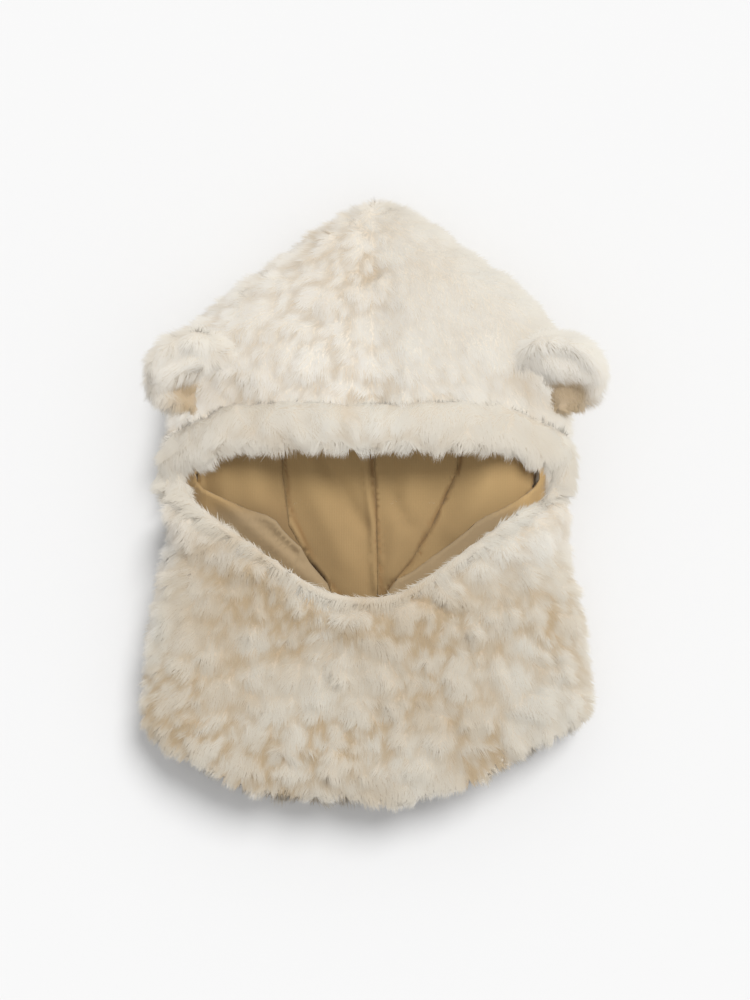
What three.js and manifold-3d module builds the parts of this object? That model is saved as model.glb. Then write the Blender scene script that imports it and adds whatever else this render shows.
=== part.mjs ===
// A child's pull-on hood scarf in deep cream faux fur, with two round bear ears and a plain cream lining.
// It lies on its back as it would on a table: the face opening looks up, the crown points to +Y and the hem
// of the neck cape to -Y. The fur is a hollow wall with its pile in locks, and the lining is a thin shell inside.
// Units are millimetres, +Z is up, and the origin is under the middle of the piece, on the table.
import * as THREE from "three";
import { mergeVertices } from "three/addons/utils/BufferGeometryUtils.js";
import Module from "manifold-3d";

const wasm = await Module();
wasm.setup();

// Overall sizes, measured over the tips of the fur
const length = 356;
const capeWidth = 267;
const browHeight = 68;
const hemHeight = 42;
const foldThickness = 34;

// Walls
const furThickness = 14;
const lockHeight = 5;
const liningThickness = 1.2;
const seamGap = 0.4;
const liningClearance = 0.4;

// Face opening, measured along the middle of its fur rim
const openingWidth = 234;
const openingHeight = 97;
const openingMiddle = -12.5;
const rimWidth = 29;
const rimThickness = 23;
const facingWidth = 11;
const facingSag = 3;

// Ears
const earRadius = 31;
const earThickness = 15;
const earCup = 20;

// Seams
const neckSeam = 0;
const liningCapeSeam = -64;
const pressedFlat = 1.5;

// Mesh fineness
const columns = 43;
const rowPitch = 12.8;
const smoothColumns = 24;
const smoothRows = 12;
const ringSamples = 240;
const outlineStep = 2;
const rimSteps = 56;
const rimSides = 9;
const rimLockSides = 3;
const earSides = 22;

// Where the hem's corners are, as a share of the length: below them the hem bows
const hemCornerAt = 0.165;

// Cross-sections from the hem to the tip of the crown. at is a share of the length, left and right are shares of
// half the cape's width, rise is a share of the way from the hem's height to the brow's, and square says how
// boxy the section is: 2 is an ellipse.
const sections = [
  { at: 0.0, left: 0.19, right: -0.11, rise: 0.0, square: 3.4 },
  { at: 0.008, left: 0.4, right: 0.12, rise: 0.02, square: 3.4 },
  { at: 0.029, left: 0.58, right: 0.42, rise: 0.05, square: 3.4 },
  { at: 0.054, left: 0.74, right: 0.61, rise: 0.09, square: 3.4 },
  { at: 0.09, left: 0.87, right: 0.77, rise: 0.14, square: 3.3 },
  { at: 0.127, left: 0.97, right: 0.92, rise: 0.2, square: 3.2 },
  { at: 0.165, left: 1.01, right: 1.01, rise: 0.25, square: 3.1 },
  { at: 0.225, left: 1.0, right: 1.01, rise: 0.33, square: 3.0 },
  { at: 0.3, left: 0.98, right: 0.985, rise: 0.42, square: 2.9 },
  { at: 0.372, left: 0.95, right: 0.93, rise: 0.52, square: 2.8 },
  { at: 0.445, left: 0.915, right: 0.9, rise: 0.64, square: 2.6 },
  { at: 0.494, left: 0.905, right: 0.89, rise: 0.75, square: 2.5 },
  { at: 0.568, left: 0.905, right: 0.905, rise: 0.93, square: 2.4 },
  { at: 0.63, left: 0.9, right: 0.91, rise: 1.0, square: 2.3 },
  { at: 0.7, left: 0.88, right: 0.9, rise: 0.97, square: 2.3 },
  { at: 0.76, left: 0.84, right: 0.87, rise: 0.86, square: 2.3 },
  { at: 0.8, left: 0.765, right: 0.82, rise: 0.75, square: 2.3 },
  { at: 0.84, left: 0.645, right: 0.73, rise: 0.62, square: 2.4 },
  { at: 0.88, left: 0.505, right: 0.585, rise: 0.47, square: 2.4 },
  { at: 0.92, left: 0.36, right: 0.44, rise: 0.3, square: 2.5 },
  { at: 0.96, left: 0.215, right: 0.295, rise: 0.12, square: 2.6 },
  { at: 0.985, left: 0.12, right: 0.2, rise: 0.02, square: 2.8 },
  { at: 1.0, left: -0.02, right: 0.06, rise: -0.05, square: 3.0 },
];

// Furrows pressed into the front. x and y run from -1 to 1 over half the cape's width and half the length, and
// depth and wide are shares of the fur's thickness.
const folds = [
  { name: "crown seam", x1: 0.07, y1: 0.97, x2: 0.02, y2: 0.27, wide: 0.6, depth: 0.24 },
  { name: "under right rim", x1: 0.62, y1: -0.13, x2: 0.3, y2: -0.34, wide: 0.6, depth: 0.4 },
  { name: "under left rim", x1: -0.68, y1: -0.15, x2: -0.36, y2: -0.34, wide: 0.6, depth: 0.3 },
  { name: "left cape crease", x1: -0.64, y1: -0.51, x2: -0.26, y2: -0.45, wide: 0.55, depth: 0.34 },
  { name: "right cape crease", x1: 0.55, y1: -0.55, x2: 0.85, y2: -0.38, wide: 0.55, depth: 0.28 },
  { name: "left ear root", x1: -0.82, y1: 0.24, x2: -0.56, y2: 0.33, wide: 0.6, depth: 0.35 },
  { name: "right ear root", x1: 0.6, y1: 0.33, x2: 0.86, y2: 0.24, wide: 0.6, depth: 0.35 },
  { name: "brow hollow", x1: -0.6, y1: 0.29, x2: 0.62, y2: 0.29, wide: 0.7, depth: 0.22 },
];

// The middle of the face rim, once round from the brow. x and y run from -1 to 1 over half the opening's width
// and height, wide and thick are shares of the rim's section, and turnIn says how much of the facing shows.
const rimStops = [
  { x: 0.0, y: 1.0, wide: 1.0, thick: 1.0, turnIn: -0.2 },
  { x: -0.42, y: 1.0, wide: 1.0, thick: 1.0, turnIn: -0.2 },
  { x: -0.76, y: 0.95, wide: 1.0, thick: 1.0, turnIn: -0.1 },
  { x: -0.95, y: 0.78, wide: 0.9, thick: 0.95, turnIn: 0.1 },
  { x: -0.985, y: 0.5, wide: 0.78, thick: 0.88, turnIn: 0.4 },
  { x: -0.87, y: 0.17, wide: 0.7, thick: 0.82, turnIn: 0.8 },
  { x: -0.66, y: -0.16, wide: 0.64, thick: 0.78, turnIn: 1.0 },
  { x: -0.43, y: -0.6, wide: 0.62, thick: 0.76, turnIn: 0.9 },
  { x: -0.2, y: -0.93, wide: 0.66, thick: 0.76, turnIn: 0.5 },
  { x: 0.03, y: -1.0, wide: 0.68, thick: 0.76, turnIn: 0.35 },
  { x: 0.22, y: -0.93, wide: 0.66, thick: 0.76, turnIn: 0.4 },
  { x: 0.45, y: -0.58, wide: 0.64, thick: 0.78, turnIn: 0.5 },
  { x: 0.69, y: -0.16, wide: 0.66, thick: 0.8, turnIn: 0.5 },
  { x: 0.9, y: 0.19, wide: 0.72, thick: 0.82, turnIn: 0.5 },
  { x: 0.99, y: 0.52, wide: 0.78, thick: 0.88, turnIn: 0.3 },
  { x: 0.96, y: 0.8, wide: 0.9, thick: 0.95, turnIn: 0.1 },
  { x: 0.77, y: 0.95, wide: 1.0, thick: 1.0, turnIn: -0.1 },
  { x: 0.42, y: 1.0, wide: 1.0, thick: 1.0, turnIn: -0.2 },
];

// Seams of the lining, as shares of half the cape's width, from the nape up to the crown
const liningSeams = [
  { y: -0.4, left: -0.12, middle: 0.05, right: 0.06 },
  { y: -0.3, left: -0.155, middle: 0.05, right: 0.09 },
  { y: -0.27, left: -0.17, middle: 0.05, right: 0.12 },
  { y: -0.2, left: -0.25, middle: 0.05, right: 0.2 },
  { y: -0.08, left: -0.34, middle: 0.045, right: 0.29 },
  { y: 0.1, left: -0.37, middle: 0.035, right: 0.4 },
  { y: 1.1, left: -0.37, middle: 0.03, right: 0.4 },
];

// Ears: x and y place the middle of the cup as above, lift raises it over the fur by a share of its radius, and
// the cup looks along the direction faceX, faceY, faceZ.
const ears = [
  { name: "ear_left", x: -0.715, y: 0.375, lift: 0.42, faceX: 0.1, faceY: -0.62, faceZ: 0.78 },
  { name: "ear_right", x: 0.8, y: 0.375, lift: 0.42, faceX: -0.16, faceY: -0.64, faceZ: 0.76 },
];

const furWhite = { color: 0xe9e2d3, roughness: 0.95, metalness: 0 };
const liningCream = { color: 0xd9bd8a, roughness: 0.8, metalness: 0 };

// Small helpers
const smooth = (t) => t * t * (3 - 2 * t);
const chance = (a, b, c = 0) => {
  const wave = Math.sin(a * 12.9898 + b * 78.233 + c * 37.719) * 43758.5453;
  return wave - Math.floor(wave);
};

// A row of a table at a place between its stops, by a curve that never swings past them
function between(table, key, place) {
  const last = table.length - 1;
  if (place <= table[0][key]) return table[0];
  if (place >= table[last][key]) return table[last];
  const i = table.findIndex((row) => row[key] > place) - 1;
  const span = table[i + 1][key] - table[i][key];
  const t = (place - table[i][key]) / span;
  const slope = (k, column) => {
    if (k === 0 || k === last) return 0;
    const before = (table[k][column] - table[k - 1][column]) / (table[k][key] - table[k - 1][key]);
    const after = (table[k + 1][column] - table[k][column]) / (table[k + 1][key] - table[k][key]);
    return before * after <= 0 ? 0 : (2 * before * after) / (before + after);
  };
  const row = {};
  for (const column of Object.keys(table[i])) {
    if (typeof table[i][column] !== "number") continue;
    const a = table[i][column];
    const b = table[i + 1][column];
    row[column] =
      a +
      (b - a) * smooth(t) +
      span * (t * (1 - t) ** 2 * slope(i, column) - t * t * (1 - t) * slope(i + 1, column));
  }
  return row;
}

const yOf = (at) => (at - 0.5) * length;
const atOf = (y) => y / length + 0.5;
const sectionAt = (y) => between(sections, "at", atOf(y));

// The plan outline of the fur, sampled once, and the height of its middle
const outline = [];
for (let y = yOf(0); y <= yOf(1) + 1e-6; y += outlineStep) {
  const row = sectionAt(y);
  outline.push({ y, left: (-row.left * capeWidth) / 2, right: (row.right * capeWidth) / 2 });
}
const heightAt = (y) => hemHeight + (browHeight - hemHeight) * sectionAt(y).rise;

// Left and right edge of the plan outline, moved in by inset as a rolling ball would. An open hem has no edge.
function edgesAt(y, inset, openHem) {
  const hemCorner = yOf(hemCornerAt);
  const at = openHem ? Math.max(y, hemCorner) : y;
  const own = sectionAt(at);
  let left = (-own.left * capeWidth) / 2 + inset;
  let right = (own.right * capeWidth) / 2 - inset;
  for (const sample of outline) {
    const away = Math.abs(sample.y - at);
    if (away >= inset || (openHem && sample.y < hemCorner)) continue;
    const reach = Math.sqrt(inset * inset - away * away);
    left = Math.max(left, sample.left + reach);
    right = Math.min(right, sample.right - reach);
  }
  return { left, right };
}

// How deep the furrows press the front down at a point
function foldDepth(x, y) {
  let depth = 0;
  for (const fold of folds) {
    const a = new THREE.Vector2((fold.x1 * capeWidth) / 2, (fold.y1 * length) / 2);
    const b = new THREE.Vector2((fold.x2 * capeWidth) / 2, (fold.y2 * length) / 2);
    const line = b.clone().sub(a);
    const t = THREE.MathUtils.clamp(new THREE.Vector2(x, y).sub(a).dot(line) / line.lengthSq(), 0, 1);
    const away = Math.hypot(x - a.x - line.x * t, y - a.y - line.y * t) / (fold.wide * furThickness);
    depth += fold.depth * furThickness * Math.exp(-away * away);
  }
  return depth;
}

// One cross-section: inset moves its sides in, floor and ceiling move its back up and its front down
function ring(y, { inset, floor, ceiling, openHem = false, rounded = false, folded = false, count }) {
  const planY = openHem ? y : THREE.MathUtils.clamp(y, yOf(0) + inset, yOf(1) - inset);
  const { left, right } = edgesAt(planY, inset, openHem);
  const halfWidth = Math.max((right - left) / 2, 0.5);
  const middle = (right + left) / 2;
  const waist = foldThickness / 2;
  const nearEnd = Math.min(y - yOf(0), yOf(1) - y);
  const bulge = rounded && nearEnd < waist ? Math.sqrt(1 - (1 - Math.max(nearEnd, 0) / waist) ** 2) : 1;
  const top = waist + Math.max(heightAt(y) - ceiling - waist, 0.8) * Math.max(bulge, 0.05);
  const bottom = waist - (waist - floor) * Math.max(bulge, 0.05);
  const power = 2 / sectionAt(y).square;
  const fine = [];
  for (let i = 0; i < ringSamples; i++) {
    const angle = (i / ringSamples) * 2 * Math.PI;
    const across = Math.sin(angle);
    const up = Math.cos(angle);
    const x = middle + halfWidth * Math.sign(across) * Math.abs(across) ** power;
    const share = Math.abs(up) ** (up > 0 ? power : power / 2.5);
    let z = up > 0 ? waist + (top - waist) * share : waist - (waist - bottom) * share;
    if (folded && up > 0) z -= Math.min(foldDepth(x, y) * share, (z - waist) * 0.6);
    fine.push(new THREE.Vector3(x, y, z));
  }
  return evenly(fine, count);
}

// A closed line of points, resampled so that they are evenly spaced and start at the first one
function evenly(points, count) {
  const along = [0];
  points.forEach((p, i) => along.push(along[i] + p.distanceTo(points[(i + 1) % points.length])));
  const total = along[points.length];
  const made = [];
  let k = 0;
  for (let i = 0; i < count; i++) {
    const wanted = (i / count) * total;
    while (along[k + 1] < wanted) k++;
    const t = (wanted - along[k]) / Math.max(along[k + 1] - along[k], 1e-9);
    made.push(points[k].clone().lerp(points[(k + 1) % points.length], t));
  }
  return made;
}

// Triangles over rows of points that all close on themselves. tip, where it is given, may return the point of a
// lock that stands on a cell; the cell is then four triangles that meet there.
function skin(rows, { loop = false, tip = null, crowned = 0 } = {}) {
  const triangles = [];
  const add = (...corners) => triangles.push(...corners.flatMap((p) => [p.x, p.y, p.z]));
  const count = rows[0].length;
  const steps = loop ? rows.length : rows.length - 1;
  for (let j = 0; j < steps; j++) {
    for (let i = 0; i < count; i++) {
      const a = rows[j][i];
      const b = rows[j][(i + 1) % count];
      const c = rows[(j + 1) % rows.length][(i + 1) % count];
      const d = rows[(j + 1) % rows.length][i];
      const point = tip && tip([a, b, c, d], i, j);
      if (point) {
        add(a, b, point);
        add(b, c, point);
        add(c, d, point);
        add(d, a, point);
      } else {
        add(a, b, c);
        add(a, c, d);
      }
    }
  }
  if (!loop) {
    for (const [row, flip] of [
      [rows[0], true],
      [rows[rows.length - 1], false],
    ]) {
      const hub = row.reduce((sum, p) => sum.add(p), new THREE.Vector3()).divideScalar(count);
      hub.y += flip ? -crowned : crowned;
      for (let i = 0; i < count; i++) {
        const next = row[(i + 1) % count];
        if (flip) add(next, row[i], hub);
        else add(row[i], next, hub);
      }
    }
  }
  const geometry = new THREE.BufferGeometry();
  geometry.setAttribute("position", new THREE.Float32BufferAttribute(triangles, 3));
  return geometry;
}

// Solids for joining and cutting
function solidOf(geometry) {
  const bare = new THREE.BufferGeometry().setAttribute("position", geometry.getAttribute("position"));
  if (geometry.index) bare.setIndex(geometry.index);
  const merged = mergeVertices(bare, 1e-4);
  const made = (triVerts) =>
    new wasm.Manifold(
      new wasm.Mesh({ numProp: 3, vertProperties: merged.attributes.position.array, triVerts }),
    );
  const triVerts = new Uint32Array(merged.index.array);
  const solid = made(triVerts);
  return solid.volume() < 0 ? made(triVerts.reverse()) : solid;
}

// The largest of the bodies that a cut leaves
function largest(solid) {
  return solid.decompose().reduce((best, body) => (body.volume() > best.volume() ? body : best));
}

function meshOf(name, solid, look) {
  const { numProp, vertProperties, triVerts } = solid.getMesh();
  const position = new Float32Array((vertProperties.length / numProp) * 3);
  for (let i = 0; i < position.length / 3; i++) {
    position.set(vertProperties.subarray(i * numProp, i * numProp + 3), i * 3);
  }
  const geometry = new THREE.BufferGeometry();
  geometry.setAttribute("position", new THREE.BufferAttribute(position, 3));
  geometry.setIndex(new THREE.BufferAttribute(new Uint32Array(triVerts), 1));
  geometry.computeVertexNormals();
  const mesh = new THREE.Mesh(geometry, new THREE.MeshStandardMaterial(look));
  mesh.name = name;
  return mesh;
}

// The tip of a lock of fur over a cell: it stands out from the backing and leans along the nap
function lockTip(corners, i, j, nap, height) {
  const middle = corners.reduce((sum, p) => sum.add(p), new THREE.Vector3()).divideScalar(4);
  const across = corners[2].clone().sub(corners[0]);
  const along = corners[3].clone().sub(corners[1]);
  const out = across.clone().cross(along);
  const size = Math.min(across.length(), along.length());
  if (size < height * 1.2) return null;
  out.normalize();
  const lean = nap.clone().addScaledVector(out, -nap.dot(out));
  const reach = height * (0.45 + 0.55 * chance(i, j, 1));
  across.normalize().multiplyScalar(size * 0.5 * (chance(i, j, 3) - 0.5));
  return middle
    .addScaledVector(out, reach)
    .addScaledVector(lean, size * (0.05 + 0.25 * chance(i, j, 2)))
    .add(across);
}

// The fur's outside, from the hem to the crown, with its locks on all that doesn't lie on the table. grow swells it.
function furOutside(grow) {
  const rows = [];
  const rowCount = Math.round(length / rowPitch);
  const inset = lockHeight - grow;
  const endTuck = lockHeight * 0.3;
  for (let j = 0; j <= rowCount; j++) {
    const share = j / rowCount;
    const eased = share + 0.018 * Math.sin(2 * Math.PI * share);
    const y = yOf(0) + endTuck + (length - 2 * endTuck) * eased;
    const options = { inset, floor: -pressedFlat - grow, ceiling: inset, rounded: true, folded: true };
    const points = ring(y, { ...options, count: columns * 2 });
    rows.push(points.filter((_, i) => i % 2 === j % 2));
  }
  const nap = new THREE.Vector3(0, -1, 0);
  const tip = (corners, i, j) => {
    const side = corners[2].clone().sub(corners[0]).cross(corners[3].clone().sub(corners[1])).normalize();
    const middle = (corners[0].z + corners[2].z) / 2;
    const onTable = side.z < -0.35 || middle < foldThickness * 0.2;
    return onTable ? null : lockTip(corners, i, j, nap, lockHeight);
  };
  return solidOf(skin(rows, { tip, crowned: endTuck * 0.8 })).trimByPlane([0, 0, 1], -grow);
}

// The rows of the fur's smooth inside, which runs out through the hem
function insideRows() {
  const low = yOf(0) - furThickness;
  let high = yOf(1);
  const gapAt = (y) => edgesAt(y, furThickness, true).right - edgesAt(y, furThickness, true).left;
  while (gapAt(high) < 8) high -= 1;
  const rows = [];
  for (let j = 0; j <= smoothRows; j++) {
    const share = j / smoothRows;
    const y = low + (high - low) * Math.sin((share * Math.PI) / 2) ** 1.15;
    const options = { inset: furThickness, floor: furThickness, ceiling: furThickness, openHem: true };
    rows.push(ring(y, { ...options, count: smoothColumns }));
  }
  return rows;
}

// The same rows moved inwards. Near the face opening the lining hangs a little further off the front.
function movedIn(rows, distance) {
  return rows.map((row, j) =>
    row.map((point, i) => {
      const across = row[(i + 1) % row.length].clone().sub(row[(i - 1 + row.length) % row.length]);
      const before = rows[Math.max(j - 1, 0)][i];
      const along = rows[Math.min(j + 1, rows.length - 1)][i].clone().sub(before);
      const normal = across.clone().cross(along).normalize();
      const away = (point.y - openingMiddle + openingHeight / 4) / (openingHeight / 2);
      const sag = facingSag * Math.exp(-away * away) * Math.max(normal.z, 0);
      return point.clone().addScaledVector(normal, -distance - sag);
    }),
  );
}

// Height of the fur's front at a point of the plan, without its locks
function frontAt(x, y) {
  const { left, right } = edgesAt(y, lockHeight, false);
  const share = Math.min(Math.abs(x - (left + right) / 2) / ((right - left) / 2), 0.985);
  const square = sectionAt(y).square;
  const waist = foldThickness / 2;
  return waist + (heightAt(y) - lockHeight - waist) * (1 - share ** square) ** (1 / square);
}

// The rim's middle line and the size of its section, once round the opening. It rests on the lining.
function rimLine(count) {
  const wallDepth = furThickness - lockHeight;
  const stops = rimStops.map((stop) => {
    const x = (stop.x * openingWidth) / 2;
    const y = openingMiddle + (stop.y * openingHeight) / 2;
    return new THREE.Vector3(x, y, frontAt(x, y) - wallDepth + rimThickness / 2 + seamGap);
  });
  const curve = new THREE.CatmullRomCurve3(stops, true, "centripetal");
  const line = [];
  for (let i = 0; i < count; i++) {
    const t = i / count;
    const from = rimStops[Math.floor(t * rimStops.length)];
    const to = rimStops[(Math.floor(t * rimStops.length) + 1) % rimStops.length];
    const mix = t * rimStops.length - Math.floor(t * rimStops.length);
    const value = (column) => from[column] + (to[column] - from[column]) * smooth(mix);
    const tangent = curve.getTangent(t);
    const inward = new THREE.Vector3(-tangent.y, tangent.x, 0).normalize();
    line.push({
      at: curve.getPoint(t),
      inward,
      tangent,
      wide: (value("wide") * rimWidth) / 2,
      thick: (value("thick") * rimThickness) / 2,
      turnIn: value("turnIn"),
    });
  }
  return line;
}

// The rolled fur edge round the face, with locks on its upper and inner sides
function rimSolid(grow, withLocks) {
  const rows = rimLine(rimSteps).map(({ at, inward, tangent, wide, thick }) => {
    const up = tangent.clone().cross(inward).normalize();
    if (up.z < 0) up.negate();
    const points = [];
    for (let k = 0; k < rimSides; k++) {
      const angle = (k / rimSides) * 2 * Math.PI;
      const across = (wide - lockHeight * 0.6 + grow) * Math.cos(angle);
      const rise = (thick - lockHeight * 0.6 + grow) * Math.sin(angle);
      points.push(at.clone().addScaledVector(inward, across).addScaledVector(up, rise));
    }
    return points;
  });
  const tip = (corners, i, j) => {
    const nap = new THREE.Vector3(0, -1, -0.2);
    return i < rimLockSides ? lockTip(corners, i, j + 0.5, nap, lockHeight * 0.8) : null;
  };
  const geometry = skin(rows, { loop: true, tip: withLocks ? tip : null });
  return solidOf(geometry);
}

// A straight cutter that opens the front only. Each point of the rim's middle line is moved towards the middle
// of the opening until it is shiftOf inside that line, so that the outline never crosses itself.
function openingCutter(shiftOf, from) {
  const heart = new THREE.Vector3(0, openingMiddle + openingHeight * 0.1, 0);
  const shape = new THREE.Shape(
    rimLine(rimSteps).map((stop) => {
      const toHeart = heart.clone().sub(stop.at).setZ(0).normalize();
      const shift = shiftOf(stop) / Math.max(toHeart.dot(stop.inward), 0.5);
      return new THREE.Vector2(stop.at.x + toHeart.x * shift, stop.at.y + toHeart.y * shift);
    }),
  );
  const cutter = new THREE.ExtrudeGeometry(shape, { depth: browHeight * 2, bevelEnabled: false });
  return solidOf(cutter.translate(0, 0, from));
}

// A cupped ear: rows run from the middle of its hollow over the rim to the middle of its back
function earSolid(ear) {
  const x = (ear.x * capeWidth) / 2;
  const y = (ear.y * length) / 2;
  const face = new THREE.Vector3(ear.faceX, ear.faceY, ear.faceZ).normalize();
  const out = new THREE.Vector3(0.4 * Math.sign(ear.x), 0.6, 0.6);
  out.addScaledVector(face, -out.dot(face)).normalize();
  const side = face.clone().cross(out);
  const centre = new THREE.Vector3(x, y, frontAt(x, y)).addScaledVector(out, ear.lift * earRadius);
  const radius = earRadius - lockHeight * 0.6;
  const halfWall = earThickness / 2 - lockHeight * 0.4;
  const profile = [
    { r: 0.2, depth: 1 },
    { r: 0.5, depth: 1 },
    { r: 0.78, depth: 1 },
    { r: 0.95, depth: 0.72 },
    { r: 1.0, depth: 0 },
    { r: 0.95, depth: -0.72 },
    { r: 0.78, depth: -1 },
    { r: 0.5, depth: -1 },
    { r: 0.2, depth: -1 },
  ];
  const rows = profile.map((stop) => {
    const points = [];
    for (let i = 0; i < earSides; i++) {
      const angle = (i / earSides) * 2 * Math.PI;
      const r = radius * stop.r;
      const cup = -earCup * (1 - stop.r ** 2) + earCup * 0.4;
      points.push(
        centre
          .clone()
          .addScaledVector(out, r * Math.cos(angle))
          .addScaledVector(side, r * Math.sin(angle))
          .addScaledVector(face, cup + halfWall * stop.depth),
      );
    }
    return points;
  });
  const nap = new THREE.Vector3(0, -1, -0.3);
  const tip = (corners, i, j) => (j >= 2 ? lockTip(corners, i, j, nap, lockHeight * 0.7) : null);
  return solidOf(skin(rows, { tip }));
}

// The plan outline moved in, as a straight cutter that gives the lining its bowed hem
function planCutter(inset) {
  const left = [];
  const right = [];
  for (let y = yOf(0) + inset; y < 0; y += outlineStep * 3) {
    const edges = edgesAt(y, inset, false);
    left.push(new THREE.Vector2(edges.left, y));
    right.unshift(new THREE.Vector2(edges.right, y));
  }
  left.push(new THREE.Vector2(-capeWidth, 0), new THREE.Vector2(-capeWidth, length));
  right.unshift(new THREE.Vector2(capeWidth, length), new THREE.Vector2(capeWidth, 0));
  const shape = new THREE.Shape([...left, ...right]);
  return solidOf(new THREE.ExtrudeGeometry(shape, { depth: browHeight * 2, bevelEnabled: false }));
}

// A slab of the plan between two edges, for cutting the lining into its panels
function slab(leftEdge, rightEdge) {
  const points = [];
  for (const seam of liningSeams) points.push(new THREE.Vector2(leftEdge(seam), (seam.y * length) / 2));
  for (const seam of [...liningSeams].reverse()) {
    points.push(new THREE.Vector2(rightEdge(seam), (seam.y * length) / 2));
  }
  const flat = new THREE.ExtrudeGeometry(new THREE.Shape(points), {
    depth: browHeight * 2,
    bevelEnabled: false,
  });
  return solidOf(flat.translate(0, 0, -furThickness));
}

// Fur: a hollow wall, cut open for the face, then parted along its seams
const rim = rimSolid(0, true);
const inside = insideRows();
const hollow = solidOf(skin(inside));
const aboveBack = furThickness + 4;
const rimRoom = rimSolid(seamGap * 1.5, false);
const opening = openingCutter(() => 0, aboveBack);
const wall = furOutside(0).subtract(hollow).subtract(opening).subtract(rimRoom);
const hoodWall = largest(wall.trimByPlane([0, 1, 0], neckSeam + seamGap / 2));
const capeWall = largest(wall.trimByPlane([0, -1, 0], -neckSeam + seamGap / 2));
const crownSlant = new THREE.Vector2(1, -0.05).normalize();
const hoodLeft = hoodWall.trimByPlane([-crownSlant.x, -crownSlant.y, 0], seamGap / 2);
const hoodRight = hoodWall.trimByPlane([crownSlant.x, crownSlant.y, 0], seamGap / 2);

// Lining: a thin shell inside the fur
const liningOut = solidOf(skin(movedIn(inside, liningClearance)));
const liningIn = solidOf(skin(movedIn(inside, liningClearance + liningThickness)));
const hemTurn = furThickness * 0.6;
const shown = ({ wide, turnIn }) => wide + facingWidth * turnIn;
const liningShell = liningOut
  .subtract(liningIn)
  .subtract(openingCutter(shown, aboveBack))
  .subtract(rimRoom)
  .intersect(planCutter(hemTurn));

const g = seamGap / 2;
const half = capeWidth / 2;
const far = capeWidth;
const panels = {
  lining_side_left: slab(() => -far, (s) => s.left * half - g),
  lining_centre_left: slab((s) => s.left * half + g, (s) => s.middle * half - g),
  lining_centre_right: slab((s) => s.middle * half + g, (s) => s.right * half - g),
  lining_side_right: slab((s) => s.right * half + g, () => far),
};
const hoodLining = liningShell.trimByPlane([0, 1, 0], liningCapeSeam + g);
const capeLining = liningShell.trimByPlane([0, -1, 0], -liningCapeSeam + g);

const hood = new THREE.Group();
hood.add(meshOf("hood_left", largest(hoodLeft), furWhite));
hood.add(meshOf("hood_right", largest(hoodRight), furWhite));
hood.add(meshOf("neck_cape", capeWall, furWhite));
hood.add(meshOf("face_rim", rim, furWhite));
const swollenFur = furOutside(seamGap * 2);
for (const row of ears) {
  hood.add(meshOf(row.name, largest(earSolid(row).subtract(swollenFur)), furWhite));
}
for (const [name, region] of Object.entries(panels)) {
  hood.add(meshOf(name, largest(hoodLining.intersect(region)), liningCream));
}
hood.add(meshOf("lining_cape", largest(capeLining), liningCream));

// The origin is put under the middle of the whole piece
const extent = new THREE.Box3().setFromObject(hood);
const centre = extent.getCenter(new THREE.Vector3());
hood.position.set(-centre.x, -centre.y, -extent.min.z);

export default hood;
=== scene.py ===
"""Looks of an animal hood scarf: a child's hood and neck cape in deep cream fur, lying on its back.

The fur of each panel is a soft padded shell under tens of thousands of tapered hairs that gather in tufts, and
the lining is sewn from thin knitted gores. Everything is in metres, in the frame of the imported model.
"""
import math

import bpy
import numpy as np
from bpy.props import FloatProperty, FloatVectorProperty, IntProperty, PointerProperty
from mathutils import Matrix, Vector
from mathutils.bvhtree import BVHTree
from mathutils.kdtree import KDTree


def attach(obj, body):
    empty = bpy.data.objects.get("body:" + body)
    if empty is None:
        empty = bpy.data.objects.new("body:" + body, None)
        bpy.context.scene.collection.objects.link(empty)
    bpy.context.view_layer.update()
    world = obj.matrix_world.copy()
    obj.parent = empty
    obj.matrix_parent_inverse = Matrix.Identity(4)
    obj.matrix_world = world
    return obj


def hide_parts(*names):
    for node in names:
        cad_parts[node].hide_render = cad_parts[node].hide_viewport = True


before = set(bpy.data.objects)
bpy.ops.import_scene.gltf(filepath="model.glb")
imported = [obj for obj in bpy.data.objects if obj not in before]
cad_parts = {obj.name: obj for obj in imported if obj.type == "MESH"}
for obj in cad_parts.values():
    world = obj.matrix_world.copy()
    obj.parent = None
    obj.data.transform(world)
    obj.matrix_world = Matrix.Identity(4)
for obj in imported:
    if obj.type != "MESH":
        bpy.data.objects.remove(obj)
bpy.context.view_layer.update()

bl_info = {
    "name": "Animal Hood Scarf",
    "version": (1, 0, 0),
    "blender": (4, 5, 0),
    "location": "3D View > Sidebar > Hood",
    "description": "Dresses the packed hood scarf in fur and lining and sets it on a pale floor",
    "category": "Object",
}

MM = 0.001
BODY = "root"

# What each piece of the lining was cut to, in metres and square metres, and its share of the darker colour, which is
# painted shade
LINING_CUTS = {
    "lining_side_left": {"flat": (0.135, 0.2), "area": 0.022, "shade": 0.85},
    "lining_centre_left": {"flat": (0.06, 0.34), "area": 0.0186, "shade": 0.57},
    "lining_centre_right": {"flat": (0.055, 0.34), "area": 0.0162, "shade": 0.57},
    "lining_side_right": {"flat": (0.135, 0.2), "area": 0.0221, "shade": 0.5},
    "lining_cape": {"flat": (0.48, 0.106), "area": 0.0452, "shade": 0.4},
}

# The photograph's frame: its size in pixels, the width of one pixel and the pixel over the frame's origin
PHOTO_WIDTH = 750
PHOTO_HEIGHT = 1000
PIXEL = 0.58 * MM
ORIGIN_PIXEL_X = 371.9
ORIGIN_PIXEL_Y = 501.3

# Where the middle of the face opening lies across the plan
MIDDLE_X = -3 * MM

# Where the large soft light stands, over the upper right corner of the picture
KEY_FROM = (0.5, 0.75, 1.05)


def place(pixel_x, pixel_y):
    """The point of the plan that the photograph shows at a pixel."""
    return ((pixel_x - ORIGIN_PIXEL_X) * PIXEL, (ORIGIN_PIXEL_Y - pixel_y) * PIXEL)
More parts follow.
